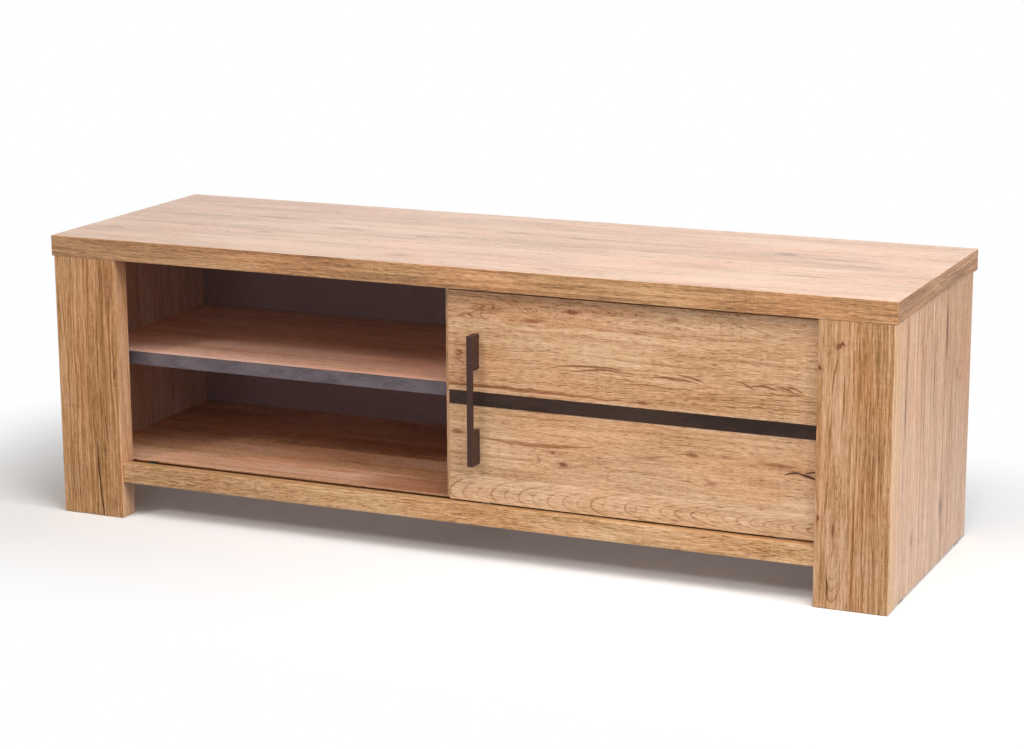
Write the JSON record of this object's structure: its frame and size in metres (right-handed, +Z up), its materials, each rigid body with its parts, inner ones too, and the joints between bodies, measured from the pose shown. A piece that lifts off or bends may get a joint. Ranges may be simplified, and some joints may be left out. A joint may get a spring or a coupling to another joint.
{
  "type": "tv stand with sliding door",
  "caption": "Low oak-laminate TV bench with broad front posts, an open shelved half, and a sliding door with a dark strip and bar handle that closes either half.",
  "frame": {"origin": "on the floor, at the middle of the footprint, the door's handle included", "axes": "+X to the right seen from the front, +Y to the back, +Z up"},
  "size_m": [1.5, 0.49, 0.493],
  "materials": {
    "oak_laminate": "matte embossed grain",
    "graphite_laminate": "matte",
    "brown_hardboard": "matte",
    "black_plastic": "matte",
    "white_nylon": "satin",
    "black_rubber": "matte",
    "zinc_steel": "zinc plated",
    "beech": "raw",
    "dark_bronze_metal": "matte"
  },
  "bodies": {
    "carcase": {"top_panel": "oak_laminate", "left_post": "oak_laminate", "right_post": "oak_laminate", "left_side_panel": "oak_laminate", "right_side_panel": "oak_laminate", "bottom_panel": "oak_laminate", "bottom_rail": "oak_laminate", "divider": "oak_laminate", "left_shelf": "oak_laminate", "right_shelf": "oak_laminate", "left_shelf_edging": "graphite_laminate", "right_shelf_edging": "graphite_laminate", "left_back_panel": "brown_hardboard", "right_back_panel": "brown_hardboard", "lower_track": "black_plastic", "track_stops": "black_rubber", "upper_guide_channel": "black_plastic", "shelf_pins": "zinc_steel", "cam_housings": "zinc_steel", "cam_bolts": "zinc_steel", "wood_dowels": "beech", "divider_screws": "zinc_steel", "floor_glides": "black_plastic", "centre_foot": "black_plastic", "centre_foot_screws": "zinc_steel"},
    "door": {"door_panel": "oak_laminate", "door_strip": "graphite_laminate", "door_handle": "dark_bronze_metal", "handle_screws": "zinc_steel", "left_roller_housing": "black_plastic", "right_roller_housing": "black_plastic", "roller_axles": "zinc_steel", "roller_housing_screws": "zinc_steel", "left_top_guide": "black_plastic", "right_top_guide": "black_plastic", "top_guide_screws": "zinc_steel"},
    "left_roller": {"left_roller_wheel": "white_nylon"},
    "right_roller": {"right_roller_wheel": "white_nylon"}
  },
  "joints": [
    {"name": "door_slide", "type": "slide", "parent": "carcase", "child": "door", "axis": [-1, 0, 0], "range_m": [0, 0.622]},
    {"name": "left_roller_spin", "type": "hinge", "parent": "door", "child": "left_roller", "pos_m": [0.057, -0.2035, 0.10655], "axis": [0, -1, 0], "continuous": true},
    {"name": "right_roller_spin", "type": "hinge", "parent": "door", "child": "right_roller", "pos_m": [0.565, -0.2035, 0.10655], "axis": [0, -1, 0], "continuous": true}
  ],
  "couplings": [
    {"joint": "left_roller_spin", "follows": "door_slide", "rad_per_m": 105.26},
    {"joint": "right_roller_spin", "follows": "door_slide", "rad_per_m": 105.26}
  ]
}
